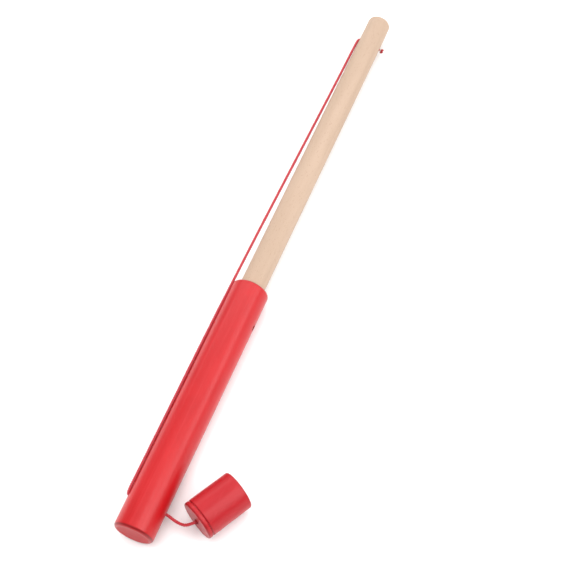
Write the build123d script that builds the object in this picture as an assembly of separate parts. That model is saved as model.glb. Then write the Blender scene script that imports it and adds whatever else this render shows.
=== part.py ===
from build123d import *
import os
import math

# Wooden plunger-and-tube toy with a tethered end weight, lying on a flat surface.
# Row frame: +Z up, +X along the barrel towards the rod's tip, z = 0 the surface it lies on,
# origin under the centre of the toy's bounding box (measured without the cord).
# All dimensions in millimetres.

# ---- barrel (turned wood, closed lower end, blind bore from the mouth) -------
BARREL_D = 24.0
BARREL_L = 170.0
BARREL_END_FILLET = 2.2      # rounded edge of the closed end
BARREL_MOUTH_FILLET = 1.9    # rounded outer edge of the mouth
BORE_D = 16.6
BORE_DEPTH = 120.0
BORE_MOUTH_CHAMFER = 0.5
CORD_HOLE_D = 2.6            # cross-hole for the cord
CORD_HOLE_X = 19.0           # from the closed end
CORD_HOLE_EASE = 0.5         # countersink at both ends of the cross-hole
VENT_D = 5.0
VENT_X = 145.0
VENT_DEG = 184.5             # where the vent faces, from +Y towards +Z
ROLL_DEG = 18.0              # the drilled holes lie in a plane rolled this far from horizontal

# ---- plunger rod -------------------------------------------------------------
ROD_D = 16.0
ROD_EXPOSED = 241.0          # length outside the mouth when drawn out
ROD_INSIDE = 21.0            # length left in the bore when drawn out
ROD_TIP_FILLET = 1.9
ROD_INNER_CHAMFER = 1.0
ROD_HOLE_D = 2.4
ROD_HOLE_FROM_TIP = 21.7
PLUNGER_TRAVEL = 95.0        # rod's stroke into the barrel (used by the joint range)

# ---- cord ----------------------------------------------------------------------
CORD_D = 1.8
CORD_STANDOFF = 13.02        # cord centre from the barrel's axis where it lies on the barrel
TIP_KNOT_D = 3.8
ROOT_KNOT_D = 2.6
INNER_KNOT_D = 4.6
BODY_GAP = 0.3               # air between pieces of different moving bodies

# ---- small cylinder (bob) --------------------------------------------------------
BOB_D = 24.0
BOB_L = 30.0
BOB_LID_T = 3.0
BOB_FILLET = 1.0
BOB_SEAM_CHAMFER = 0.6
BOB_CAVITY_D = 9.0
BOB_CAVITY_DEPTH = 8.5       # measured from the seam
LID_SPIGOT_D = 8.9
LID_SPIGOT_H = 1.5
LID_HOLE_D = 2.4
LID_SINK_D = 3.6             # countersink round the lid's cord hole, the knot sits in it
LID_SINK_H = 1.0
KNOT_OUT = 0.5               # knot's centre, outside the face
BOB_FACE_X = 20.35           # centre of the cord-end face, from the barrel's closed end
BOB_FACE_Y = -29.75          # and from the barrel's axis
BOB_YAW_DEG = -29.2          # bob's axis in plan, from +X

# ---- placing in the row frame ------------------------------------------------------
SHIFT_X = -(BARREL_L + ROD_EXPOSED) / 2.0
SHIFT_Y = 21.25              # brings the bounding box's centre to y = 0
AXIS_Z = BARREL_D / 2.0

os.makedirs("parts", exist_ok=True)

roll = math.radians(ROLL_DEG)
CR, SR = math.cos(roll), math.sin(roll)
yaw = math.radians(BOB_YAW_DEG)
UX, UY = math.cos(yaw), math.sin(yaw)


def P(x, y, z):
    """Point given from the barrel's closed end, barrel axis and surface -> row frame."""
    return Vector(x + SHIFT_X, y + SHIFT_Y, z)


def Q(x, r):
    """Point in the rolled plane of the drilled holes: x along the barrel, r from its axis."""
    return P(x, r * CR, AXIS_Z + r * SR)


def cyl_between(a, b, d):
    """Solid cylinder of diameter d from point a to point b."""
    v = b - a
    return Solid.make_cylinder(d / 2.0, v.length, Plane(origin=a, z_dir=v.normalized()))


def countersink(center, toward, surface_r, hole_r, ease):
    """Cone that eases a radial hole's rim where it breaks a round surface."""
    d = (toward - center).normalized()
    base = center + d * (surface_r - ease)
    return Solid.make_cone(hole_r, hole_r + 2 * ease, 2 * ease, Plane(origin=base, z_dir=d))


def turned(profile, plane):
    """Solid of revolution: profile is a list of (radius, height) points, rotated about
    the plane's z axis."""
    pts = [(r, h) for r, h in profile]
    with BuildSketch(Plane.XZ) as sk:
        with BuildLine():
            Polyline(*pts, close=True)
        make_face()
    body = revolve(sk.sketch, axis=Axis.Z)
    return plane.location * body


def edges_round(part, axis_plane, radius, height, tol=0.05):
    """The circular edges of a given radius and height along axis_plane's z."""
    found = []
    for e in part.edges().filter_by(GeomType.CIRCLE):
        c = axis_plane.to_local_coords(e.arc_center)
        if abs(e.radius - radius) < tol and abs(c.Z - height) < tol:
            found.append(e)
    return found


def save(shape, name):
    if isinstance(shape, (list, tuple, ShapeList)):
        shape = shape[0]
    solids = shape.solids()
    out = solids[0] if len(solids) == 1 else shape
    out.label = name
    export_step(out, os.path.join("parts", name + ".step"))
    return out


# ---- barrel --------------------------------------------------------------------
barrel_plane = Plane(origin=P(0, 0, AXIS_Z), x_dir=(0, 1, 0), z_dir=(1, 0, 0))
R = BARREL_D / 2.0
RB = BORE_D / 2.0
bore_bottom = BARREL_L - BORE_DEPTH
barrel = Solid.make_cylinder(R, BARREL_L, barrel_plane)
barrel = barrel.fillet(BARREL_END_FILLET, edges_round(barrel, barrel_plane, R, 0.0))
barrel = barrel.fillet(BARREL_MOUTH_FILLET, edges_round(barrel, barrel_plane, R, BARREL_L))
# blind bore with a shallow drill-point floor and a chamfered mouth
bore = turned(
    [(0, bore_bottom - 2.0), (RB, bore_bottom), (RB, BARREL_L - BORE_MOUTH_CHAMFER),
     (RB + BORE_MOUTH_CHAMFER + 0.2, BARREL_L + 0.2), (0, BARREL_L + 0.2)],
    barrel_plane,
)
barrel = barrel - bore
# cross-hole for the cord
barrel = barrel - cyl_between(Q(CORD_HOLE_X, -R - 2), Q(CORD_HOLE_X, R + 2), CORD_HOLE_D)
# side vent, from outside into the bore
va = math.radians(VENT_DEG)


def V(r):
    """Point on the vent's own axis, r from the barrel's axis."""
    return P(VENT_X, r * math.cos(va), AXIS_Z + r * math.sin(va))


barrel = barrel - cyl_between(V(0.0), V(R + 2), VENT_D)
# eased edges where the cord leaves the cross-hole, and round the vent
for sgn in (1, -1):
    barrel = barrel - countersink(Q(CORD_HOLE_X, 0), Q(CORD_HOLE_X, sgn * 10), R, CORD_HOLE_D / 2.0, CORD_HOLE_EASE)
barrel = barrel - countersink(V(0), V(10), R, VENT_D / 2.0, 0.3)
barrel = barrel.solids()[0]

# ---- plunger rod -----------------------------------------------------------------
ROD_L = ROD_EXPOSED + ROD_INSIDE
rod_x0 = BARREL_L - ROD_INSIDE
rod_x1 = BARREL_L + ROD_EXPOSED
rod_plane = Plane(origin=P(rod_x0, 0, AXIS_Z), x_dir=(0, 1, 0), z_dir=(1, 0, 0))
rod = Solid.make_cylinder(ROD_D / 2.0, ROD_L, rod_plane)
rod = rod.fillet(ROD_TIP_FILLET, edges_round(rod, rod_plane, ROD_D / 2.0, ROD_L))
rod = rod.chamfer(ROD_INNER_CHAMFER, None, edges_round(rod, rod_plane, ROD_D / 2.0, 0.0))
RHX = rod_x1 - ROD_HOLE_FROM_TIP
rod = rod - cyl_between(Q(RHX, -ROD_D), Q(RHX, ROD_D), ROD_HOLE_D)
for sgn in (1, -1):
    rod = rod - countersink(Q(RHX, 0), Q(RHX, sgn * 10), ROD_D / 2.0, ROD_HOLE_D / 2.0, 0.3)
rod = rod.solids()[0]

# ---- cord --------------------------------------------------------------------------
RR = ROD_D / 2.0


def cord_tube(name, pts):
    """Round cord along straight runs joined by tangent arcs, each arc as large as its
    runs allow; prints the radii and compares the volume with section times length."""
    radii = []
    for i in range(1, len(pts) - 1):
        a = pts[i] - pts[i - 1]
        b = pts[i + 1] - pts[i]
        turn = math.radians(a.get_angle(b))
        radii.append(0.45 * min(a.length, b.length) / math.tan(turn / 2.0))
    if radii:
        with BuildLine() as path:
            FilletPolyline(*pts, radius=radii)
        wire = path.line.wires()[0] if path.line.wires() else Wire(path.line.edges())
    else:
        wire = Wire([Edge.make_line(pts[0], pts[-1])])
    start = pts[0]
    tangent = (pts[1] - pts[0]).normalized()
    section = Plane(origin=start, z_dir=tangent) * Circle(CORD_D / 2.0)
    solid = sweep(section, path=wire)
    solid = solid.solids()[0]
    want = math.pi * (CORD_D / 2.0) ** 2 * wire.length
    print(name, "length %.2f" % wire.length, "volume %.3f of %.3f" % (solid.volume, want),
          "radii", [round(r, 2) for r in radii])
    return solid


# upper stretch, in the rolled plane: out of the barrel's cross-hole, round its edge,
# straight along the barrel to the mouth, then straight to the rod's cross-hole
UPPER = [
    Q(CORD_HOLE_X, 9.8),
    Q(CORD_HOLE_X + 0.1, 11.7),
    Q(CORD_HOLE_X + 1.9, 13.1),
    Q(CORD_HOLE_X + 12.4, CORD_STANDOFF),
    Q(BARREL_L - 2.0, CORD_STANDOFF + 0.45),
    Q(RHX - 12.0, 9.5),
    Q(RHX - 1.8, 9.35),
    Q(RHX - 0.6, 9.1),
]
tether_upper = cord_tube("tether_upper", UPPER)

# stretch inside the barrel's cross-hole
crossing_cord = cyl_between(Q(CORD_HOLE_X, 9.8), Q(CORD_HOLE_X, -10.4), CORD_D)

# one knot sits in the countersink of the bob's lid, the other in its cavity
KNOT_X = BOB_FACE_X - UX * KNOT_OUT
KNOT_Y = BOB_FACE_Y - UY * KNOT_OUT
knot_c = P(KNOT_X, KNOT_Y, AXIS_Z)

# lower stretch: out of the cross-hole, sagging, then up to the bob
LOWER = [
    Q(CORD_HOLE_X, -10.4),
    P(18.6, -13.15, 7.5),
    P(17.6, -17.05, 6.8),
    P(17.05, -20.95, 6.9),
    P(16.95, -24.4, 8.3),
]
last_dir = (knot_c - LOWER[-1]).normalized()
LOWER.append(knot_c - last_dir * (ROOT_KNOT_D / 2.0 + BODY_GAP))
tether_lower = cord_tube("tether_lower", LOWER)

# cord through the rod's cross-hole, and its end knot
tip_cord_stub = cyl_between(Q(RHX, RR + 0.05), Q(RHX, -RR - 0.5), CORD_D)
tip_knot = Solid.make_sphere(TIP_KNOT_D / 2.0, Plane(Q(RHX, -RR - TIP_KNOT_D / 2.0 - 0.1)))

# ---- bob ------------------------------------------------------------------------------
bob_plane = Plane(origin=P(BOB_FACE_X, BOB_FACE_Y, AXIS_Z), x_dir=(-UY, UX, 0), z_dir=(UX, UY, 0))
RO = BOB_D / 2.0
body_h = BOB_L - BOB_LID_T
body_plane = bob_plane.offset(BOB_LID_T)
bob_body = Solid.make_cylinder(RO, body_h, body_plane)
bob_body = bob_body.fillet(BOB_FILLET, edges_round(bob_body, body_plane, RO, body_h))
bob_body = bob_body.chamfer(BOB_SEAM_CHAMFER, None, edges_round(bob_body, body_plane, RO, 0.0))
bob_body = bob_body - Solid.make_cylinder(BOB_CAVITY_D / 2.0, BOB_CAVITY_DEPTH, body_plane)
bob_body = bob_body.solids()[0]

bob_lid = Solid.make_cylinder(RO, BOB_LID_T, bob_plane)
bob_lid = bob_lid.fillet(BOB_FILLET, edges_round(bob_lid, bob_plane, RO, 0.0))
bob_lid = bob_lid.chamfer(BOB_SEAM_CHAMFER, None, edges_round(bob_lid, bob_plane, RO, BOB_LID_T))
bob_lid = bob_lid + Solid.make_cylinder(LID_SPIGOT_D / 2.0, LID_SPIGOT_H, body_plane)
bob_lid = bob_lid - Solid.make_cylinder(LID_HOLE_D / 2.0, 10.0, bob_plane.offset(-2.0))
sink_slope = (LID_SINK_D - LID_HOLE_D) / 2.0 / LID_SINK_H
bob_lid = bob_lid - Solid.make_cone(LID_SINK_D / 2.0 + sink_slope * 0.4, LID_HOLE_D / 2.0, LID_SINK_H + 0.4,
                                    bob_plane.offset(-0.4))
bob_lid = bob_lid.solids()[0]

u = Vector(UX, UY, 0)
face_c = P(BOB_FACE_X, BOB_FACE_Y, AXIS_Z)
bob_root_knot = Solid.make_sphere(ROOT_KNOT_D / 2.0, Plane(knot_c))
inner_c = face_c + u * (BOB_LID_T + LID_SPIGOT_H + INNER_KNOT_D / 2.0 + 0.2)
bob_cord_stub = cyl_between(face_c + u * 1.2, face_c + u * (BOB_LID_T + LID_SPIGOT_H + 0.1), CORD_D)
bob_inner_knot = Solid.make_sphere(INNER_KNOT_D / 2.0, Plane(inner_c))

# ---- write -----------------------------------------------------------------------------
nodes = {
    "barrel": barrel,
    "plunger_rod": rod,
    "tether_upper": tether_upper,
    "crossing_cord": crossing_cord,
    "tether_lower": tether_lower,
    "tip_cord_stub": tip_cord_stub,
    "tip_knot": tip_knot,
    "bob_root_knot": bob_root_knot,
    "bob_body": bob_body,
    "bob_lid": bob_lid,
    "bob_cord_stub": bob_cord_stub,
    "bob_inner_knot": bob_inner_knot,
}
for name, shape in nodes.items():
    save(shape, name)

own = [barrel, rod, bob_body, bob_lid]
boxes = [s.bounding_box() for s in own]
lo = [min(tuple(b.min)[i] for b in boxes) for i in range(3)]
hi = [max(tuple(b.max)[i] for b in boxes) for i in range(3)]
print("box without the cord: low", [round(v, 3) for v in lo], "high", [round(v, 3) for v in hi])
print("box centre", round((lo[0] + hi[0]) / 2, 3), round((lo[1] + hi[1]) / 2, 3), "base", round(lo[2], 3))
for nm, c in (("bob pivot", knot_c), ("cord hole right", Q(CORD_HOLE_X, -R)), ("cord hole left", Q(CORD_HOLE_X, R)),
              ("rod hole left", Q(RHX, RR)), ("barrel end face", P(0, 0, AXIS_Z)), ("draw axis", Vector(UX, UY, 0)),
              ("bob end face", face_c + u * BOB_L)):
    print(nm, [round(v, 5) for v in tuple(c)])
print("upper route", [[round(v, 3) for v in tuple(p)] for p in UPPER])
print("lower route", [[round(v, 3) for v in tuple(p)] for p in LOWER])
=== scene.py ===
import bpy
import bmesh
import math
import numpy as np
from mathutils import Vector, Matrix


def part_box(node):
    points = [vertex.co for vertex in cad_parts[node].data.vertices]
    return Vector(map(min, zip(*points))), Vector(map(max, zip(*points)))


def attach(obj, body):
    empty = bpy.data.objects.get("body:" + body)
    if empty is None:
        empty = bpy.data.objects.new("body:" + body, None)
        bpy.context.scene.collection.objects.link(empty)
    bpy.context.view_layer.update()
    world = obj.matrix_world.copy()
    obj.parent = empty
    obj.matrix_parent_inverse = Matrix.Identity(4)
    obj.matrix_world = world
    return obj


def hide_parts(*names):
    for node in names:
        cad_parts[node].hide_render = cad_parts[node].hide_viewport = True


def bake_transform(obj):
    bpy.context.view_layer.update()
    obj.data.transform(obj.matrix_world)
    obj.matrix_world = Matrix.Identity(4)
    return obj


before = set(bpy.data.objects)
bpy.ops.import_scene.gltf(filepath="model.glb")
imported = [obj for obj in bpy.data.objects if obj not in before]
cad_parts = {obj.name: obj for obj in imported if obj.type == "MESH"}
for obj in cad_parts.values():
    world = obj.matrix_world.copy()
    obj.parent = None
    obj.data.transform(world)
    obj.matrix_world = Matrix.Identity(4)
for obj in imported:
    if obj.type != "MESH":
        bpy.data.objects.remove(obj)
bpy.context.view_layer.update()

# ------------------------------------------------------------------ shared places (metres)
MM = 0.001
b_lo, b_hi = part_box("barrel")
r_lo, r_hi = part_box("plunger_rod")
BX0, BX1 = b_lo.x, b_hi.x                        # closed end, mouth
AY = (b_lo.y + b_hi.y) / 2                       # barrel's axis
AZ = (b_lo.z + b_hi.z) / 2
R_BARREL = (b_hi.z - b_lo.z) / 2
R_ROD = (r_hi.z - r_lo.z) / 2
ROLL = math.radians(18.0)                        # plane of the drilled holes
VENT_ROLL = math.radians(4.5)                    # the vent faces the other way, a little below level
CORD_D = 1.8 * MM
CORD_LOOK = 1.9 * MM                             # over the crowns of its strands


def arr(*p):
    return np.array(p, float)


def fbm(seed, x, a, kmax=46, n=16, flow=30.0):
    """Smooth repeatable relief on a turned surface: x along the axis in metres, a the angle."""
    rng = np.random.default_rng(seed)
    out = np.zeros(np.broadcast(x, a).shape)
    for _ in range(n):
        k = int(rng.integers(5, kmax))
        ph, q, qs, w = rng.uniform(0, 6.28), rng.uniform(0.4, 1.0) * flow, rng.uniform(0, 6.28), rng.uniform(0.5, 1.6)
        out += np.sin(k * a + ph + w * np.sin(q * x + qs)) * np.cos(rng.uniform(0.3, 1.0) * flow * 1.7 * x + qs * 2) / math.sqrt(k)
    return out / n * 3.0


# ------------------------------------------------------------------ turned shells with drilled holes
class Shell:
    """Vertices are kept as (x along the axis, angle, radius) rings or free points, faces carry a material."""

    def __init__(self):
        self.v, self.f, self.m, self.skin = [], [], [], []

    def add(self, p, skin=0):
        self.v.append(tuple(p))
        self.skin.append(skin)
        return len(self.v) - 1

    def quad(self, ids, mat):
        self.f.append(tuple(ids))
        self.m.append(mat)

    def strip(self, a, b, mat):
        n = len(a)
        for k in range(n):
            self.quad((a[k], a[(k + 1) % n], b[(k + 1) % n], b[k]), mat)


def lathe(shell, rings, n, phase, mats, skins, cut=()):
    """rings: (x, r). cut: set of (i, j) cells left open. Returns the lazily made grid of ids."""
    ids = {}

    def vid(i, j):
        j %= n
        x, r = rings[i]
        key = (i, j) if r > 1e-7 else (i, 0)
        if key not in ids:
            a = phase + 2 * math.pi * j / n
            ids[key] = shell.add((x, r * math.cos(a), r * math.sin(a)), skins[i])
        return ids[key]

    for i in range(len(rings) - 1):
        for j in range(n):
            if (i, j) in cut:
                continue
            a, b, c, d = vid(i, j), vid(i, j + 1), vid(i + 1, j + 1), vid(i + 1, j)
            q = []
            for k in (a, b, c, d):
                if k not in q:
                    q.append(k)
            if len(q) > 2:
                shell.quad(q, mats[i])
    return vid


def hole_ring(shell, vid, rings, i0, i1, j0, j1, n, phase, xc, side, R, rho0, mat, skin, m=4):
    """Fills the opening left in a cylinder of radius R between cells i0..i1, j0..j1 with rings that go
    from the opening's square edge to a circle of radius rho0. Returns the circle's ids."""
    edge = [(i1, j) for j in range((j0 + j1) // 2, j1)] + [(i, j1) for i in range(i1, i0, -1)]
    edge += [(i0, j) for j in range(j1, j0, -1)] + [(i, j0) for i in range(i0, i1)]
    edge += [(i1, j) for j in range(j0, (j0 + j1) // 2)]
    if side < 0:                                   # one sense of turning for both sides
        edge = [edge[0]] + edge[:0:-1]
    N = len(edge)
    jc = (j0 + j1) // 2
    outer = [vid(i, j) for i, j in edge]
    flat = [(rings[i][0] - xc, R * 2 * math.pi * (j - jc) / n) for i, j in edge]
    a_c = phase + 2 * math.pi * jc / n
    prev = outer
    last = None
    for s in range(1, m + 1):
        t = s / m
        ring = []
        for k in range(N):
            be = 2 * math.pi * k / N
            u, v = rho0 * math.cos(be), rho0 * math.sin(be)
            arc = side * R * math.asin(v / R)
            uu = flat[k][0] * (1 - t) + u * t
            aa = flat[k][1] * (1 - t) + arc * t
            ang = a_c + aa / R
            ring.append(shell.add((xc + uu, R * math.cos(ang), R * math.sin(ang)), skin))
        shell.strip(prev, ring, mat)
        prev = last = ring
    return last, N


def bore_rings(shell, start, N, xc, levels, mat, skin=0, roll=ROLL):
    """Continues a hole's circle inwards: levels are (rho, w(v)) in the hole's own frame."""
    cr, sr = math.cos(roll), math.sin(roll)
    prev = start
    for rho, w in levels:
        ring = []
        for k in range(N):
            be = 2 * math.pi * k / N
            u, v = rho * math.cos(be), rho * math.sin(be)
            ww = w(v)
            ring.append(shell.add((xc + u, ww * cr - v * sr, ww * sr + v * cr), skin))
        shell.strip(prev, ring, mat)
        prev = ring
    return prev


def to_object(shell, name, place, materials, relief=None, sharp=38):
    co = np.array(shell.v, float)
    if relief is not None:
        sk = np.array(shell.skin)
        sel = sk > 0
        r = np.hypot(co[:, 1], co[:, 2])
        a = np.arctan2(co[:, 2], co[:, 1])
        d = relief(co[:, 0], a, sk)
        rr = np.where(sel & (r > 1e-5), (r + d) / np.maximum(r, 1e-6), 1.0)
        co[:, 1] *= rr
        co[:, 2] *= rr
    co = place(co)
    me = bpy.data.meshes.new(name)
    me.from_pydata([tuple(c) for c in co], [], shell.f)
    me.validate()
    for m in materials:
        me.materials.append(m)
    me.polygons.foreach_set("material_index", np.array(shell.m[: len(me.polygons)], dtype=np.int32))
    bm = bmesh.new()
    bm.from_mesh(me)
    bmesh.ops.recalc_face_normals(bm, faces=bm.faces)
    bm.to_mesh(me)
    bm.free()
    me.shade_smooth()
    me.set_sharp_from_angle(angle=math.radians(sharp))
    me.update()
    ob = bpy.data.objects.new(name, me)
    bpy.context.scene.collection.objects.link(ob)
    return ob


def steps(a, b, d):
    k = max(1, int(round((b - a) / d)))
    return list(np.linspace(a, b, k + 1))


def fillet(cx, cr, rad, a0, a1, k):
    """Points of an arc in the (x, r) plane."""
    return [(cx + rad * math.cos(t), cr + rad * math.sin(t)) for t in np.linspace(math.radians(a0), math.radians(a1), k + 1)]


# ------------------------------------------------------------------ materials
def new_mat(name):
    m = bpy.data.materials.new(name)
    m.use_nodes = True
    nt = m.node_tree
    nt.nodes.clear()
    out = nt.nodes.new("ShaderNodeOutputMaterial")
    bsdf = nt.nodes.new("ShaderNodeBsdfPrincipled")
    nt.links.new(bsdf.outputs[0], out.inputs[0])
    return m, nt, bsdf


def node(nt, kind, **kw):
    n = nt.nodes.new(kind)
    for k, v in kw.items():
        if k.startswith("in_"):
            key = k[3:]
            key = int(key) if key.isdigit() else key.replace("_", " ")
            n.inputs[key].default_value = v
        else:
            setattr(n, k, v)
    return n


def mapping(nt, scale, rot=(0, 0, 0), loc=(0, 0, 0)):
    tc = nt.nodes.new("ShaderNodeTexCoord")
    mp = nt.nodes.new("ShaderNodeMapping")
    mp.inputs["Scale"].default_value = scale
    mp.inputs["Rotation"].default_value = rot
    mp.inputs["Location"].default_value = loc
    nt.links.new(tc.outputs["Object"], mp.inputs["Vector"])
    return mp.outputs["Vector"]


def ramp(nt, src, stops, interp="LINEAR"):
    r = nt.nodes.new("ShaderNodeValToRGB")
    r.color_ramp.interpolation = interp
    els = r.color_ramp.elements
    while len(els) < len(stops):
        els.new(0.5)
    for e, (p, c) in zip(els, stops):
        e.position = p
        e.color = (c, c, c, 1) if isinstance(c, (int, float)) else (*c, 1)
    nt.links.new(src, r.inputs["Fac"])
    return r.outputs["Color"]


def noise(nt, vec, scale, detail=3.0, rough=0.5, dist=0.0):
    n = nt.nodes.new("ShaderNodeTexNoise")
    n.inputs["Scale"].default_value = scale
    n.inputs["Detail"].default_value = detail
    n.inputs["Roughness"].default_value = rough
    n.inputs["Distortion"].default_value = dist
    nt.links.new(vec, n.inputs["Vector"])
    return n.outputs["Fac"]


def mix_rgb(nt, fac, a, b, blend="MIX"):
    m = nt.nodes.new("ShaderNodeMix")
    m.data_type = "RGBA"
    m.blend_type = blend
    for src, key in ((fac, 0), (a, 6), (b, 7)):
        if isinstance(src, (int, float)):
            m.inputs[key].default_value = src
        elif isinstance(src, tuple):
            m.inputs[key].default_value = (*src, 1)
        else:
            nt.links.new(src, m.inputs[key])
    return m.outputs[2]


def math_node(nt, op, a, b=None):
    m = nt.nodes.new("ShaderNodeMath")
    m.operation = op
    m.inputs[2].default_value = 0.5
    for i, s in enumerate((a, b)):
        if s is None:
            continue
        if isinstance(s, (int, float)):
            m.inputs[i].default_value = s
        else:
            nt.links.new(s, m.inputs[i])
    return m.outputs[0]


def bump(nt, bsdf, height, strength, distance, prev=None):
    b = nt.nodes.new("ShaderNodeBump")
    b.inputs["Strength"].default_value = strength
    b.inputs["Distance"].default_value = distance
    nt.links.new(height, b.inputs["Height"])
    if prev is not None:
        nt.links.new(prev, b.inputs["Normal"])
    nt.links.new(b.outputs["Normal"], bsdf.inputs["Normal"])
    return b.outputs["Normal"]


def lacquer(name, deep, full, thin, yaw=0.0, rough=(0.30, 0.40), coat=0.16, coat_rough=0.16, spec=0.30, painted_edge_shade=()):
    """Satin lacquer brushed over turned wood: the grain shows faintly through it."""
    m, nt, p = new_mat(name)
    rot = (0, 0, -yaw)
    streak = noise(nt, mapping(nt, (14, 420, 420), rot), 1.0, 5, 0.55, 0.3)       # grain along the axis
    cloud = noise(nt, mapping(nt, (26, 55, 55), rot, (3, 1, 7)), 1.0, 4, 0.6, 0.4)  # uneven film
    dots = noise(nt, mapping(nt, (1300, 1700, 1700), rot), 1.0, 2, 0.5)
    base = mix_rgb(nt, ramp(nt, cloud, [(0.30, 0.0), (0.72, 1.0)]), deep, full)
    base = mix_rgb(nt, ramp(nt, streak, [(0.54, 0.0), (0.78, 0.50)]), base, thin)
    if painted_edge_shade:
        # painted shade: a fine darker line along each turned edge and the lid's seam, standing in for the dark
        # reflection where a fillet starts and the shade in a seam's groove
        along = nt.nodes.new("ShaderNodeVectorMath")
        along.operation = "DOT_PRODUCT"
        tco = nt.nodes.new("ShaderNodeTexCoord")
        nt.links.new(tco.outputs["Object"], along.inputs[0])
        along.inputs[1].default_value = (math.cos(yaw), math.sin(yaw), 0)
        wav = math_node(nt, "MULTIPLY", math_node(nt, "SUBTRACT", cloud, 0.5), 0.0006)
        for at, half, dark in painted_edge_shade:
            off = math_node(nt, "ABSOLUTE", math_node(nt, "SUBTRACT", math_node(nt, "ADD", along.outputs["Value"], wav), at))
            line = ramp(nt, math_node(nt, "DIVIDE", off, half), [(0.25, dark), (1.0, 0.0)], "EASE")
            base = mix_rgb(nt, line, base, (deep[0] * 0.22, deep[1] * 0.3, deep[2] * 0.5))
    nt.links.new(base, p.inputs["Base Color"])
    rg = mix_rgb(nt, ramp(nt, cloud, [(0.3, 0.0), (0.7, 1.0)]), (rough[0],) * 3, (rough[1],) * 3)
    rg = mix_rgb(nt, ramp(nt, dots, [(0.45, 0.0), (0.75, 0.25)]), rg, (rough[1] + 0.12,) * 3)
    nt.links.new(rg, p.inputs["Roughness"])
    p.inputs["Specular IOR Level"].default_value = spec
    p.inputs["Coat Weight"].default_value = coat
    p.inputs["Coat Roughness"].default_value = coat_rough
    n1 = bump(nt, p, streak, 0.16, 0.00022)
    bump(nt, p, dots, 0.07, 0.00006, n1)
    return m


def bare_wood(name, light, dark, fleck, yaw=0.0, pith=(0.0, 0.045, -0.035), ring=430.0, rough=0.62, fleck_amount=0.55):
    """Sanded pale dowel: growth rings of a tree whose heart lies well outside it, fine fibre, short flecks."""
    m, nt, p = new_mat(name)
    rot = (0, 0, -yaw)
    v = mapping(nt, (1, 1, 1), rot, (-pith[0], -pith[1], -pith[2]))
    warp = nt.nodes.new("ShaderNodeTexNoise")
    warp.inputs["Scale"].default_value = 9.0
    warp.inputs["Detail"].default_value = 2.0
    nt.links.new(v, warp.inputs["Vector"])
    off = nt.nodes.new("ShaderNodeVectorMath")
    off.operation = "MULTIPLY_ADD"
    nt.links.new(warp.outputs["Color"], off.inputs[0])
    off.inputs[1].default_value = (0.0, 0.010, 0.010)
    nt.links.new(v, off.inputs[2])
    sep = nt.nodes.new("ShaderNodeSeparateXYZ")
    nt.links.new(off.outputs[0], sep.inputs[0])
    rad = math_node(nt, "SQRT", math_node(nt, "ADD", math_node(nt, "MULTIPLY", sep.outputs[1], sep.outputs[1]),
                                          math_node(nt, "MULTIPLY", sep.outputs[2], sep.outputs[2])))
    lean = math_node(nt, "MULTIPLY", sep.outputs[0], 0.022)
    cyc = math_node(nt, "FRACT", math_node(nt, "MULTIPLY", math_node(nt, "ADD", rad, lean), ring))
    rings = ramp(nt, cyc, [(0.0, 0.35), (0.55, 0.0), (0.90, 0.55), (1.0, 0.35)], "EASE")
    fibre = noise(nt, mapping(nt, (45, 1500, 1500), rot), 1.0, 4, 0.6, 0.2)
    broad = noise(nt, mapping(nt, (9, 120, 120), rot, (2, 5, 1)), 1.0, 3, 0.5, 0.3)
    fl = noise(nt, mapping(nt, (520, 2600, 2600), rot, (1, 2, 3)), 1.0, 2, 0.45)
    base = mix_rgb(nt, ramp(nt, broad, [(0.3, 0.0), (0.7, 1.0)]), light, dark)
    base = mix_rgb(nt, math_node(nt, "MULTIPLY", rings, 0.42), base, dark)
    base = mix_rgb(nt, ramp(nt, fibre, [(0.50, 0.0), (0.78, 0.30)]), base, dark)
    fmask = ramp(nt, fl, [(0.645, 0.0), (0.70, fleck_amount)])
    base = mix_rgb(nt, fmask, base, fleck)
    nt.links.new(base, p.inputs["Base Color"])
    rg = mix_rgb(nt, ramp(nt, fibre, [(0.3, 0.0), (0.7, 1.0)]), (rough - 0.06,) * 3, (rough + 0.10,) * 3)
    nt.links.new(rg, p.inputs["Roughness"])
    p.inputs["Specular IOR Level"].default_value = 0.30
    n1 = bump(nt, p, fibre, 0.16, 0.00012)
    n2 = bump(nt, p, fmask, 0.30, -0.00008, n1)
    return m


def cord_mat(name, col, dark, yaw=0.0):
    m, nt, p = new_mat(name)
    fib = noise(nt, mapping(nt, (2600, 5200, 5200)), 1.0, 3, 0.6)
    cloud = noise(nt, mapping(nt, (160, 300, 300)), 1.0, 2, 0.5)
    base = mix_rgb(nt, ramp(nt, fib, [(0.32, 0.0), (0.66, 1.0)]), dark, col)
    base = mix_rgb(nt, ramp(nt, cloud, [(0.35, 0.18), (0.65, 0.0)]), base, dark)
    nt.links.new(base, p.inputs["Base Color"])
    rg = mix_rgb(nt, fib, (0.58,) * 3, (0.78,) * 3)
    nt.links.new(rg, p.inputs["Roughness"])
    p.inputs["Specular IOR Level"].default_value = 0.35
    p.inputs["Sheen Weight"].default_value = 0.25
    p.inputs["Sheen Roughness"].default_value = 0.45
    p.inputs["Sheen Tint"].default_value = (1.0, 0.55, 0.55, 1)
    bump(nt, p, fib, 0.35, 0.00006)
    return m
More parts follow.
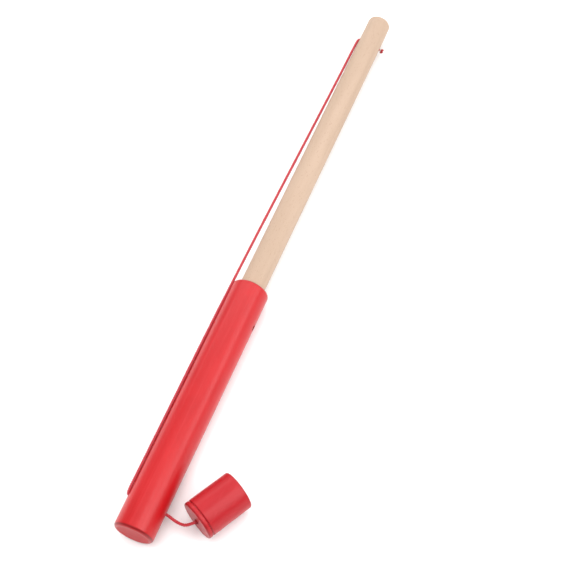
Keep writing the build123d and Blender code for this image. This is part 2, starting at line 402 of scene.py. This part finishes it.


# lighting and base colours are tuned together; all values are linear
# painted shade: two fine darker lines, one in the crease where the closed end's fillet starts and one at the mouth's
# rim
RED_LACQUER = lacquer("red_lacquer", (0.380, 0.0025, 0.0045), (0.455, 0.0045, 0.007), (0.49, 0.016, 0.020),
                      painted_edge_shade=((BX0 + 0.95 * MM, 0.80 * MM, 0.60), (BX1 - 0.60 * MM, 0.65 * MM, 0.45)))
RED_END = lacquer("red_lacquer_end", (0.400, 0.0030, 0.0045), (0.460, 0.0050, 0.007), (0.50, 0.020, 0.022), coat=0.04, spec=0.20, rough=(0.42, 0.52))
BOB_YAW = math.radians(-29.2)
BOB_AT = (BX0 + 20.35 * MM) * math.cos(BOB_YAW) + (AY - 29.75 * MM) * math.sin(BOB_YAW)   # its face, along its own axis
# painted shade: fine darker lines in the lid's seam, at the face's edge and at the far end
RED_LACQUER_BOB = lacquer("red_lacquer_bob", (0.368, 0.0095, 0.0140), (0.414, 0.0125, 0.0180), (0.50, 0.032, 0.038), coat=0.10, spec=0.20, yaw=BOB_YAW,
                          painted_edge_shade=((BOB_AT + 3.0 * MM, 0.80 * MM, 0.30), (BOB_AT + 0.6 * MM, 0.45 * MM, 0.4), (BOB_AT + 29.5 * MM, 0.40 * MM, 0.35)))
WOOD = bare_wood("natural_wood", (0.462, 0.335, 0.250), (0.405, 0.288, 0.208), (0.28, 0.17, 0.11))
RAW_BORE = bare_wood("bored_wood", (0.55, 0.36, 0.23), (0.44, 0.27, 0.16), (0.28, 0.16, 0.09), rough=0.75)
# painted shade: the walls of the drilled holes and of the lid's cord hole are a much darker red, standing in for the
# shade inside them
HOLE_SHADE = lacquer("hole_wall_painted_shade", (0.20, 0.012, 0.012), (0.28, 0.02, 0.018), (0.35, 0.08, 0.06), coat=0.0, rough=(0.6, 0.75), spec=0.25)
CORD = cord_mat("red_cord", (0.56, 0.042, 0.056), (0.40, 0.020, 0.030))
# painted shade: a darker copy of the same cord, worn by the stretch from the barrel's cross-hole to the rod
CORD_SHADED = cord_mat("red_cord_shaded", (0.47, 0.040, 0.054), (0.34, 0.019, 0.029))
# painted shade: the knots at the rod's tip and at the small cylinder's face are a darker copy of the cord, standing in
# for the shade under and around them
CORD_KNOT_SHADE = cord_mat("red_cord_knot_shaded", (0.40, 0.020, 0.030), (0.24, 0.010, 0.014))

# ------------------------------------------------------------------ barrel
N_B = 160
L = BX1 - BX0
RB = 8.3 * MM
F1, F2 = 2.2 * MM, 1.9 * MM
HX, VX = 19.0 * MM, 145.0 * MM
straight = (steps(F1, HX - 3.0 * MM, 0.8 * MM)[:-1] + steps(HX - 3.0 * MM, HX + 3.0 * MM, 0.5 * MM)[:-1]
            + steps(HX + 3.0 * MM, VX - 4.4 * MM, 0.8 * MM)[:-1] + steps(VX - 4.4 * MM, VX + 4.4 * MM, 0.55 * MM)[:-1]
            + steps(VX + 4.4 * MM, L - F2, 0.7 * MM))
prof, pm, ps = [], [], []


def put(pts, mat, skin):
    for q in pts:
        if prof and abs(prof[-1][0] - q[0]) < 1e-7 and abs(prof[-1][1] - q[1]) < 1e-7:
            continue
        prof.append(q)
        pm.append(mat)
        ps.append(skin)


rf = R_BARREL - F1
put([(0.0, 0.0)] + [(0.0, r) for r in np.linspace(0.5 * MM, rf, 11)], 3, 0)
put(fillet(F1, rf, F1, 180, 90, 12), 0, 0)
pm[-13] = 0
i_s = len(prof) - 1
put([(x, R_BARREL) for x in straight], 0, 1)
put(fillet(L - F2, R_BARREL - F2, F2, 90, 0, 9), 0, 0)
put([(L, r) for r in (9.6 * MM, 9.1 * MM)], 0, 0)
ch = 0.5 * MM
put([(L, RB + ch), (L - 0.12 * MM, RB + 0.26 * MM), (L - ch, RB)], 0, 0)
floor_x = L - 120 * MM
inner = steps(L - ch, VX + 4.4 * MM, 0.8 * MM)[:-1] + steps(VX + 4.4 * MM, VX - 4.4 * MM, 0.55 * MM)
inner = list(np.linspace(L - ch, VX + 4.4 * MM, 25))[:-1] + list(np.linspace(VX + 4.4 * MM, VX - 4.4 * MM, 17))[:-1] \
    + list(np.linspace(VX - 4.4 * MM, floor_x, 84))
i_b = len(prof) - 1
put([(x, RB) for x in inner], 1, 2)
put([(floor_x - 2 * MM * t, RB * (1 - t)) for t in np.linspace(0, 1, 9)], 1, 0)

xs_all = [q[0] for q in prof]


def find(x, lo, hi):
    return min(range(lo, hi), key=lambda i: abs(xs_all[i] - x))


o_end = i_s + len(straight)
iH0, iH1 = find(HX - 3.0 * MM, i_s, o_end), find(HX + 3.0 * MM, i_s, o_end)
iV0, iV1 = find(VX - 4.4 * MM, i_s, o_end), find(VX + 4.4 * MM, i_s, o_end)
nb = len(prof)
bV1, bV0 = find(VX + 4.4 * MM, i_b, nb - 10), find(VX - 4.4 * MM, i_b, nb - 10)
cut = set()
for i in range(iH0, iH1):
    for j in list(range(-6, 6)) + list(range(74, 86)):
        cut.add((i, j % N_B))
for i in range(iV0, iV1):
    for j in range(65, 83):
        cut.add((i, j))
for i in range(bV1, bV0):
    for j in range(62, 86):
        cut.add((i, j))

sh = Shell()
vid = lathe(sh, prof, N_B, ROLL, pm, ps, cut)
rh, ease = 1.3 * MM, 0.5 * MM
left, NH = hole_ring(sh, vid, prof, iH0, iH1, -6, 6, N_B, ROLL, HX, 1, R_BARREL, rh + ease, 0, 1)
right, _ = hole_ring(sh, vid, prof, iH0, iH1, 74, 86, N_B, ROLL, HX, -1, R_BARREL, rh + ease, 0, 1)


def eased(rho, e, R, side, k=5):
    out = []
    for t in range(1, k + 1):
        al = math.pi / 2 * t / k
        out.append((rho + e * (1 - math.sin(al)), lambda v, d=e * (1 - math.cos(al)): side * (math.sqrt(R * R - v * v) - d)))
    return out


l1 = bore_rings(sh, left, NH, HX, eased(rh, ease, R_BARREL, 1), 0)
r1 = bore_rings(sh, right, NH, HX, eased(rh, ease, R_BARREL, -1), 0)
l2 = bore_rings(sh, l1, NH, HX, [(rh, lambda v, w=w: w) for w in np.linspace(10.4 * MM, -10.4 * MM, 18)], 2)
sh.strip(l2, r1, 2)

vh, ve = 2.5 * MM, 0.3 * MM
outer, NV = hole_ring(sh, vid, prof, iV0, iV1, 65, 83, N_B, ROLL, VX, -1, R_BARREL, vh + ve, 0, 1)
inn, NV2 = hole_ring(sh, vid, prof, bV0, bV1, 62, 86, N_B, ROLL, VX, -1, RB, vh + 0.12 * MM, 1, 2)
o1 = bore_rings(sh, outer, NV, VX, eased(vh, ve, R_BARREL, -1), 0, roll=VENT_ROLL)
i1 = bore_rings(sh, inn, NV2, VX, [(vh, lambda v: -(math.sqrt(RB * RB - v * v) + 0.12 * MM))], 1, roll=VENT_ROLL)


def weld_loops(shell, a, b, mat):
    """Joins two rings of different counts with triangles and quads, walking both by angle."""
    na, nb2 = len(a), len(b)
    i = j = 0
    while i < na or j < nb2:
        ta, tb = (i + 1) / na, (j + 1) / nb2
        if i < na and j < nb2 and abs(ta - tb) < 1e-9:
            shell.quad((a[i % na], a[(i + 1) % na], b[(j + 1) % nb2], b[j % nb2]), mat)
            i += 1
            j += 1
        elif j >= nb2 or (i < na and ta < tb):
            shell.quad((a[i % na], a[(i + 1) % na], b[j % nb2]), mat)
            i += 1
        else:
            shell.quad((a[i % na], b[(j + 1) % nb2], b[j % nb2]), mat)
            j += 1


def mid_w(t):
    def w(v):
        wo = -(math.sqrt(R_BARREL ** 2 - v * v) - ve)
        wi = -(math.sqrt(RB * RB - v * v) + 0.12 * MM)
        return wo * (1 - t) + wi * t
    return w


o2 = bore_rings(sh, o1, NV, VX, [(vh, mid_w(t)) for t in (0.2, 0.4, 0.6, 0.8)], 2, roll=VENT_ROLL)
weld_loops(sh, o2, i1, 2)


def barrel_relief(x, a, sk):
    d = 0.012 * MM * fbm(11, x, a, 40, 18, 26) + 0.010 * MM * np.sin(2 * a + 9 * x) * np.cos(35 * x)
    return np.where(sk == 1, d - 0.008 * MM, -0.02 * MM * fbm(5, x, a, 30, 10, 60) * 0.5)


def place_axis(co):
    out = co.copy()
    out[:, 0] += BX0
    out[:, 1] += AY
    out[:, 2] += AZ
    return out


barrel = to_object(sh, "barrel_turned", place_axis, [RED_LACQUER, RAW_BORE, HOLE_SHADE, RED_END], barrel_relief)
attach(barrel, "barrel")
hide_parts("barrel")

# ------------------------------------------------------------------ plunger rod
N_R = 120
RL = r_hi.x - r_lo.x
FT = 1.9 * MM
RHX = r_hi.x - 21.7 * MM - r_lo.x                 # cross-hole, from the rod's inner end
prof, pm, ps = [], [], []
put([(0.0, 0.0)] + [(0.0, r) for r in np.linspace(0.5 * MM, R_ROD - 1.0 * MM, 9)], 0, 0)
put([(0.18 * MM, R_ROD - 0.72 * MM), (0.5 * MM, R_ROD - 0.42 * MM), (0.8 * MM, R_ROD - 0.15 * MM), (1.15 * MM, R_ROD)], 0, 0)
i_s = len(prof) - 1
rs = steps(1.15 * MM, RHX - 2.4 * MM, 0.75 * MM)[:-1] + steps(RHX - 2.4 * MM, RHX + 2.4 * MM, 0.4 * MM)[:-1] \
    + steps(RHX + 2.4 * MM, RL - FT, 0.6 * MM)
put([(x, R_ROD) for x in rs], 0, 1)
put(fillet(RL - FT, R_ROD - FT, FT, 90, 0, 10), 0, 0)
put([(RL, r) for r in np.linspace(R_ROD - FT, 0.5 * MM, 9)][1:] + [(RL, 0.0)], 0, 0)
xs_all = [q[0] for q in prof]
iR0, iR1 = find(RHX - 2.4 * MM, i_s, i_s + len(rs)), find(RHX + 2.4 * MM, i_s, i_s + len(rs))
cut = set()
for i in range(iR0, iR1):
    for j in list(range(-6, 6)) + list(range(54, 66)):
        cut.add((i, j % N_R))
sh = Shell()
vid = lathe(sh, prof, N_R, ROLL, pm, ps, cut)
qh, qe = 1.2 * MM, 0.3 * MM
left, NQ = hole_ring(sh, vid, prof, iR0, iR1, -6, 6, N_R, ROLL, RHX, 1, R_ROD, qh + qe, 0, 1, 3)
right, _ = hole_ring(sh, vid, prof, iR0, iR1, 54, 66, N_R, ROLL, RHX, -1, R_ROD, qh + qe, 0, 1, 3)
l1 = bore_rings(sh, left, NQ, RHX, eased(qh, qe, R_ROD, 1, 4), 0)
r1 = bore_rings(sh, right, NQ, RHX, eased(qh, qe, R_ROD, -1, 4), 0)
l2 = bore_rings(sh, l1, NQ, RHX, [(qh, lambda v, w=w: w) for w in np.linspace(6.9 * MM, -6.9 * MM, 12)], 0)
sh.strip(l2, r1, 0)


def rod_relief(x, a, sk):
    fade = np.clip((x - 1.0 * MM) / (4 * MM), 0, 1)
    return (0.020 * MM * fbm(23, x, a, 44, 20, 34) - 0.014 * MM) * fade


def place_rod(co):
    out = co.copy()
    out[:, 0] += r_lo.x
    out[:, 1] += AY
    out[:, 2] += AZ
    return out


rod = to_object(sh, "plunger_dowel", place_rod, [WOOD], rod_relief)
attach(rod, "plunger")
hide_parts("plunger_rod")

# ------------------------------------------------------------------ small cylinder
U = arr(math.cos(BOB_YAW), math.sin(BOB_YAW), 0)
W = arr(-U[1], U[0], 0)
FACE = arr(BX0 + 20.35 * MM, AY - 29.75 * MM, AZ)
R_BOB, L_BOB, LID, CHF, FB = 12 * MM, 30 * MM, 3 * MM, 0.6 * MM, 1.0 * MM


def place_bob(co):
    return FACE + co[:, :1] * U + co[:, 1:2] * W + co[:, 2:3] * arr(0, 0, 1)


N_BOB = 144
prof, pm, ps = [], [], []
CAV_R, CAV_D = 4.5 * MM, 8.5 * MM
put([(LID + CAV_D, 0.0)] + [(LID + CAV_D, r) for r in np.linspace(0.5 * MM, CAV_R, 7)], 1, 0)
put([(x, CAV_R) for x in np.linspace(LID + CAV_D, LID, 12)], 1, 0)
put([(LID, r) for r in np.linspace(CAV_R, R_BOB - 1.5 * CHF, 9)], 1, 0)
put([(LID + 0.02 * MM, R_BOB - 0.66 * CHF)], 0, 0)
put([(LID + 0.30 * CHF, R_BOB - 0.50 * CHF), (LID + 0.62 * CHF, R_BOB - 0.20 * CHF), (LID + 0.80 * CHF, R_BOB - 0.06 * CHF)], 0, 0)
put([(x, R_BOB) for x in steps(LID + CHF, L_BOB - FB, 0.5 * MM)], 0, 1)
put(fillet(L_BOB - FB, R_BOB - FB, FB, 90, 0, 8), 0, 0)
put([(L_BOB, r) for r in np.linspace(R_BOB - FB, 0.5 * MM, 12)][1:] + [(L_BOB, 0.0)], 0, 0)
sh = Shell()
lathe(sh, prof, N_BOB, 0.0, pm, ps)


def bob_relief(x, a, sk):
    return 0.011 * MM * fbm(31, x, a, 40, 16, 60) - 0.008 * MM


bob = to_object(sh, "bob_turned", place_bob, [RED_LACQUER_BOB, RAW_BORE], bob_relief)
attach(bob, "bob")
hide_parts("bob_body")

prof, pm, ps = [], [], []
LH = 1.2 * MM
put([(x, LH) for x in np.linspace(LID + 1.5 * MM, 1.05 * MM, 7)], 2, 0)
put([(0.95 * MM, LH + 0.03 * MM)] + [(x, LH + 0.6 * (1.0 * MM - x)) for x in np.linspace(0.85 * MM, 0.15 * MM, 4)], 2, 0)
put([(0.07 * MM, LH + 0.57 * MM), (0.02 * MM, LH + 0.64 * MM)], 0, 0)
put([(0.0, r) for r in np.linspace(LH + 0.74 * MM, R_BOB - FB, 14)], 0, 0)
put(fillet(FB, R_BOB - FB, FB, 180, 90, 8), 0, 0)
put([(x, R_BOB) for x in np.linspace(FB, LID - CHF, 5)], 0, 1)
put([(LID - 0.80 * CHF, R_BOB - 0.06 * CHF), (LID - 0.62 * CHF, R_BOB - 0.20 * CHF), (LID - 0.30 * CHF, R_BOB - 0.50 * CHF)], 0, 0)
put([(LID - 0.02 * MM, R_BOB - 0.66 * CHF)], 0, 0)
put([(LID, r) for r in np.linspace(R_BOB - 1.5 * CHF, 4.45 * MM, 9)], 1, 0)
put([(x, 4.45 * MM) for x in np.linspace(LID, LID + 1.5 * MM, 4)], 1, 0)
put([(LID + 1.5 * MM, r) for r in np.linspace(4.45 * MM, LH, 5)][:-1], 1, 0)
prof.append(prof[0])
pm.append(1)
ps.append(0)
sh = Shell()
lathe(sh, prof, N_BOB, 0.0, pm, ps)
# the first and last rings are the same ring: weld them
lid = to_object(sh, "bob_lid_disc", place_bob, [RED_LACQUER_BOB, RAW_BORE, HOLE_SHADE], bob_relief)
bm = bmesh.new()
bm.from_mesh(lid.data)
bmesh.ops.remove_doubles(bm, verts=bm.verts, dist=1e-6)
bmesh.ops.recalc_face_normals(bm, faces=bm.faces)
bm.to_mesh(lid.data)
bm.free()
lid.data.shade_smooth()
lid.data.set_sharp_from_angle(angle=math.radians(38))
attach(lid, "bob")
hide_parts("bob_lid")


# ------------------------------------------------------------------ cords
def spline_points(points_mm, name, res=24):
    """Points along the smooth line whose control points are given, in metres."""
    cu = bpy.data.curves.new(name, "CURVE")
    cu.dimensions = "3D"
    cu.resolution_u = res
    sp = cu.splines.new("NURBS")
    sp.points.add(len(points_mm) - 1)
    for q, p in zip(sp.points, points_mm):
        q.co = (p[0] * MM, p[1] * MM, p[2] * MM, 1)
    sp.order_u = 3
    sp.use_endpoint_u = True
    ob = bpy.data.objects.new(name, cu)
    me = bpy.data.meshes.new_from_object(ob)
    pts = np.array([v.co for v in me.vertices], float)
    bpy.data.meshes.remove(me)
    bpy.data.objects.remove(ob)
    bpy.data.curves.remove(cu)
    return pts


def even(pts, step):
    seg = np.linalg.norm(np.diff(pts, axis=0), axis=1)
    s = np.concatenate([[0], np.cumsum(seg)])
    k = max(2, int(round(s[-1] / step)))
    t = np.linspace(0, s[-1], k + 1)
    return np.stack([np.interp(t, s, pts[:, i]) for i in range(3)], 1), t


def strand_radius(phi, d, groove=0.86):
    """Outline of three strands laid together, as a radius against the angle."""
    a = d / 2 / 2.1547
    b = a * 1.1547
    p = (phi + math.pi / 3) % (2 * math.pi / 3) - math.pi / 3
    r = b * np.cos(p) + np.sqrt(np.maximum(a * a - (b * np.sin(p)) ** 2, 0))
    return np.maximum(r, groove * d / 2)


def twisted_tube(name, pts, d, pitch, mat, step=0.3 * MM, around=24, closed=False, seed=1, groove=0.86, taper=0.0):
    """A laid cord of three strands that follows pts."""
    c, s = even(pts, step)
    n = len(c)
    if closed:
        c, s = c[:-1], s[:-1]
        n -= 1
        tan = np.roll(c, -1, 0) - np.roll(c, 1, 0)
    else:
        tan = np.gradient(c, axis=0)
    tan /= np.linalg.norm(tan, axis=1)[:, None]
    ref = arr(0, 0, 1) if abs(tan[0][2]) < 0.9 else arr(1, 0, 0)
    u = ref - tan[0] * (ref @ tan[0])
    u /= np.linalg.norm(u)
    us = [u]
    for k in range(1, n):
        u = us[-1] - tan[k] * (us[-1] @ tan[k])
        u /= np.linalg.norm(u)
        us.append(u)
    us = np.array(us)
    vs = np.cross(tan, us)
    rng = np.random.default_rng(seed)
    wob = sum(np.sin(s * rng.uniform(200, 900) + rng.uniform(0, 6)) for _ in range(4)) * 0.010
    ang = np.linspace(0, 2 * math.pi, around, endpoint=False)
    turns = 2 * math.pi * s / pitch
    if closed:
        turns = 2 * math.pi * np.arange(n) / n * max(1, round(s[-1] / pitch))
    rr = strand_radius(ang[None, :] - turns[:, None], d, groove) * (1 + wob[:, None])
    if taper > 0:
        rr = rr * (1 - taper * np.clip((s - s[-1] + 0.6 * MM) / (0.6 * MM), 0, 1)[:, None] ** 2)
    ring = c[:, None, :] + rr[:, :, None] * (np.cos(ang)[None, :, None] * us[:, None, :] + np.sin(ang)[None, :, None] * vs[:, None, :])
    verts = [tuple(p) for p in ring.reshape(-1, 3)]
    faces = []
    for i in range(n if closed else n - 1):
        i2 = (i + 1) % n
        for j in range(around):
            j2 = (j + 1) % around
            faces.append((i * around + j, i * around + j2, i2 * around + j2, i2 * around + j))
    if not closed:
        for end, i in ((0, 0), (1, n - 1)):
            k = len(verts)
            verts.append(tuple(c[i]))
            for j in range(around):
                j2 = (j + 1) % around
                q = (i * around + j, i * around + j2, k)
                faces.append(q if end else q[::-1])
    me = bpy.data.meshes.new(name)
    me.from_pydata(verts, [], faces)
    me.materials.append(mat)
    bm = bmesh.new()
    bm.from_mesh(me)
    bmesh.ops.recalc_face_normals(bm, faces=bm.faces)
    bm.to_mesh(me)
    bm.free()
    me.shade_smooth()
    ob = bpy.data.objects.new(name, me)
    bpy.context.scene.collection.objects.link(ob)
    return ob, c


def trefoil(center, axis, size, thick, turn=0.0, k=220):
    """A pulled-tight overhand knot's line, with its flat side across axis."""
    t = np.linspace(0, 2 * math.pi, k + 1)
    x = np.sin(t) + 2 * np.sin(2 * t)
    y = np.cos(t) - 2 * np.cos(2 * t)
    z = -np.sin(3 * t)
    reach = size / 2 - thick / 2
    x, y, z = x / 3 * reach, y / 3 * reach, z * thick * 0.42
    w = np.array(axis, float)
    w /= np.linalg.norm(w)
    ref = arr(0, 0, 1) if abs(w[2]) < 0.9 else arr(1, 0, 0)
    a = np.cross(ref, w)
    a /= np.linalg.norm(a)
    b = np.cross(w, a)
    ca, sa = math.cos(turn), math.sin(turn)
    return np.array(center) + (x * ca - y * sa)[:, None] * a + (x * sa + y * ca)[:, None] * b + z[:, None] * w


# control points of the upper cord, from inside the barrel's cross-hole to the rod's far side
UPPER = [
    (-186.5, 22.201, 12.309), (-186.5, 27.432, 14.009), (-186.5, 30.570, 15.028), (-186.4, 32.377, 15.615),
    (-184.7, 33.450, 16.120), (-174.1, 33.340, 16.230), (-37.5, 33.390, 16.185), (143.0, 30.060, 14.862),
    (178.5, 29.790, 14.775), (182.9, 29.420, 14.655), (183.8, 27.907, 14.163), (183.8, 21.25, 12.0),
    (183.8, 13.166, 9.373),
]
line = spline_points(UPPER, "upper_route")
# the upper stretch takes the darker copy of the cord: painted shade
upper, path = twisted_tube("upper_cord", line, CORD_LOOK, 4.2 * MM, CORD_SHADED, seed=3)
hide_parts("tether_upper", "crossing_cord", "tip_cord_stub")

LOWER = [
    (-186.5, 23.152, 12.618), (-186.5, 16.5, 10.457), (-186.5, 11.359, 8.786), (-186.9, 8.1, 7.5), (-187.9, 4.2, 6.8),
    (-188.45, 0.3, 6.9), (-188.45, -3.25, 8.3), (-186.5, -6.85, 11.05), (-185.586, -8.256, 12.0),
]
line2 = spline_points(LOWER, "lower_route")
lower, path2 = twisted_tube("lower_cord", line2, CORD_LOOK, 4.2 * MM, CORD, step=0.14 * MM, seed=4)
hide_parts("tether_lower")

D_HOLE = arr(0, math.cos(ROLL), math.sin(ROLL))
kt_lo, kt_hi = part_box("tip_knot")
tip_c = arr(*((kt_lo + kt_hi) / 2))
# the knot at the rod's tip takes the darker copy of the cord: painted shade
tip_knot, _ = twisted_tube("tip_knot_tied", trefoil(tip_c, D_HOLE, 3.8 * MM, 1.25 * MM, 0.4), 1.25 * MM, 2.4 * MM,
                           CORD_KNOT_SHADE, step=0.12 * MM, around=18, closed=True, seed=5)
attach(tip_knot, "plunger")
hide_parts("tip_knot")

kr_lo, kr_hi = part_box("bob_root_knot")
root_c = arr(*((kr_lo + kr_hi) / 2))
# the knot at the small cylinder's face takes the darker copy of the cord: painted shade
root_knot, _ = twisted_tube("root_knot_tied", trefoil(root_c, U, 3.0 * MM, 1.15 * MM, 1.1), 1.15 * MM, 2.3 * MM,
                            CORD_KNOT_SHADE, step=0.1 * MM, around=18, closed=True, seed=6)
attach(root_knot, "tether_end")
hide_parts("bob_root_knot")

ki_lo, ki_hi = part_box("bob_inner_knot")
inner_c = arr(*((ki_lo + ki_hi) / 2))
inner_knot, _ = twisted_tube("inner_knot_tied", trefoil(inner_c, U, 4.6 * MM, 1.6 * MM, 0.2), 1.6 * MM, 3.0 * MM,
                             CORD, step=0.15 * MM, around=18, closed=True, seed=7)
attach(inner_knot, "bob")
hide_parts("bob_inner_knot")

stub_pts = np.array([FACE + U * t for t in np.linspace(1.2 * MM, 4.7 * MM, 16)])
stub, _ = twisted_tube("bob_cord_inner", stub_pts, CORD_D, 4.2 * MM, CORD, step=0.2 * MM, seed=8)
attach(stub, "bob")
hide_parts("bob_cord_stub")

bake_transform(upper)
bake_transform(lower)
[tuple(p) for p in path]
[tuple(p) for p in path2]

# ------------------------------------------------------------------ floor, light, camera
fm, nt, p = new_mat("studio_floor")
fn = noise(nt, mapping(nt, (3, 3, 3)), 1.0, 3, 0.5)
nt.links.new(mix_rgb(nt, fn, (0.90, 0.90, 0.90), (0.93, 0.93, 0.93)), p.inputs["Base Color"])
p.inputs["Roughness"].default_value = 0.9
p.inputs["Specular IOR Level"].default_value = 0.1
me = bpy.data.meshes.new("floor")
S = 4.0
me.from_pydata([(-S, -S, 0), (S, -S, 0), (S, S, 0), (-S, S, 0)], [], [(0, 1, 2, 3)])
me.materials.append(fm)
floor = bpy.data.objects.new("floor", me)
floor.location = (0, 0, -0.00005)
bpy.context.scene.collection.objects.link(floor)

world = bpy.data.worlds.new("soft_room")
bpy.context.scene.world = world
world.use_nodes = True
wn = world.node_tree
wn.nodes.clear()
wo = wn.nodes.new("ShaderNodeOutputWorld")
bg = wn.nodes.new("ShaderNodeBackground")
tc = wn.nodes.new("ShaderNodeTexCoord")
sx = wn.nodes.new("ShaderNodeSeparateXYZ")
wn.links.new(tc.outputs["Generated"], sx.inputs[0])
# a white tent: bright low down all round, a soft top, dimmer on the +Y side, brighter ahead (+X),
# and a dark gap low down behind the closed end
half = lambda i: math_node(wn, "MULTIPLY_ADD", sx.outputs[i], 0.5)
low = ramp(wn, sx.outputs[2], [(0.02, 1.20), (0.26, 0.05)], "EASE")
high = ramp(wn, sx.outputs[2], [(0.15, 0.0), (0.50, 0.68)], "EASE")
side = ramp(wn, half(1), [(0.60, 1.0), (0.90, 0.28)], "EASE")
ahead = ramp(wn, half(0), [(0.61, 0.0), (0.74, 0.75)])
sky = mix_rgb(wn, 1.0, low, mix_rgb(wn, 1.0, high, side, "MULTIPLY"), "ADD")
above = ramp(wn, sx.outputs[2], [(0.05, 0.0), (0.22, 1.0)])
sky = mix_rgb(wn, 1.0, sky, math_node(wn, "MULTIPLY", ahead, above), "ADD")
toward = ramp(wn, half(0), [(0.03, 1.0), (0.22, 0.0)])
near = ramp(wn, sx.outputs[2], [(0.34, 1.0), (0.62, 0.0)])
wn.links.new(mix_rgb(wn, math_node(wn, "MULTIPLY", toward, near), sky, (0.10, 0.10, 0.10)), bg.inputs["Color"])
bg.inputs["Strength"].default_value = 1.0
wn.links.new(bg.outputs[0], wo.inputs[0])


def area(name, direction, dist, size_x, size_y, watts, target=(0, 0, 0), gloss=True, fills=True):
    li = bpy.data.lights.new(name, "AREA")
    li.shape = "RECTANGLE"
    li.size, li.size_y = size_x, size_y
    li.energy = watts
    ob = bpy.data.objects.new(name, li)
    d = Vector(direction).normalized()
    ob.location = Vector(target) + d * dist
    ob.rotation_euler = d.to_track_quat("Z", "Y").to_euler()
    ob.visible_glossy = gloss
    ob.visible_diffuse = fills
    ob.visible_camera = False
    bpy.context.scene.collection.objects.link(ob)
    return ob


area("key_top", (-0.12, 0.10, 1.0), 1.5, 1.9, 1.9, 23.0, gloss=False)
area("fill_right", (0.30, -1.0, 0.35), 1.2, 1.2, 0.8, 5.5, gloss=False)
area("strip_right", (0.0, -0.78, 0.62), 1.3, 1.10, 0.60, 3.6)
area("fill_left", (-0.15, 1.0, 0.40), 1.2, 1.2, 0.8, 6.5, gloss=False)
# pale cards close by, seen in the lacquer only: one towards the mouth, one over the small cylinder
area("card_mouth", (0.0, 0.0, 1.0), 0.42, 0.44, 1.50, 4.0, target=(0.36, -0.05, 0.0), fills=False)
area("card_bob", (0.0, 0.0, 1.0), 0.40, 0.22, 0.50, 1.0, target=(-0.16, -0.32, 0.0), fills=False)

F_PX, EL, AZM, RO, GX, GY, DIST = 1144.75, 1.03923, -1.20359, 0.01597, -24.939, 1.554, 716.84
w = arr(-math.cos(EL) * math.sin(AZM), math.cos(EL) * math.cos(AZM), -math.sin(EL))
rt = arr(math.cos(AZM), math.sin(AZM), 0)
up = np.cross(rt, w)
r2 = math.cos(RO) * rt + math.sin(RO) * up
u2 = -math.sin(RO) * rt + math.cos(RO) * up
pos = arr(GX, GY, 12.0) * MM - w * DIST * MM
cam_data = bpy.data.cameras.new("camera")
cam_data.sensor_width = 36.0
cam_data.sensor_fit = "HORIZONTAL"
cam_data.lens = 36.0 * F_PX / 573.0
cam_data.clip_start, cam_data.clip_end = 0.05, 30.0
cam = bpy.data.objects.new("camera", cam_data)
M = Matrix(((r2[0], u2[0], -w[0], pos[0]), (r2[1], u2[1], -w[1], pos[1]), (r2[2], u2[2], -w[2], pos[2]), (0, 0, 0, 1)))
cam.matrix_world = M
bpy.context.scene.collection.objects.link(cam)
bpy.context.scene.camera = cam
bpy.context.scene.view_settings.view_transform = "Standard"
bpy.context.scene.view_settings.look = "None"
bpy.context.scene.view_settings.exposure = 0.0
bpy.context.scene.view_settings.gamma = 1.0
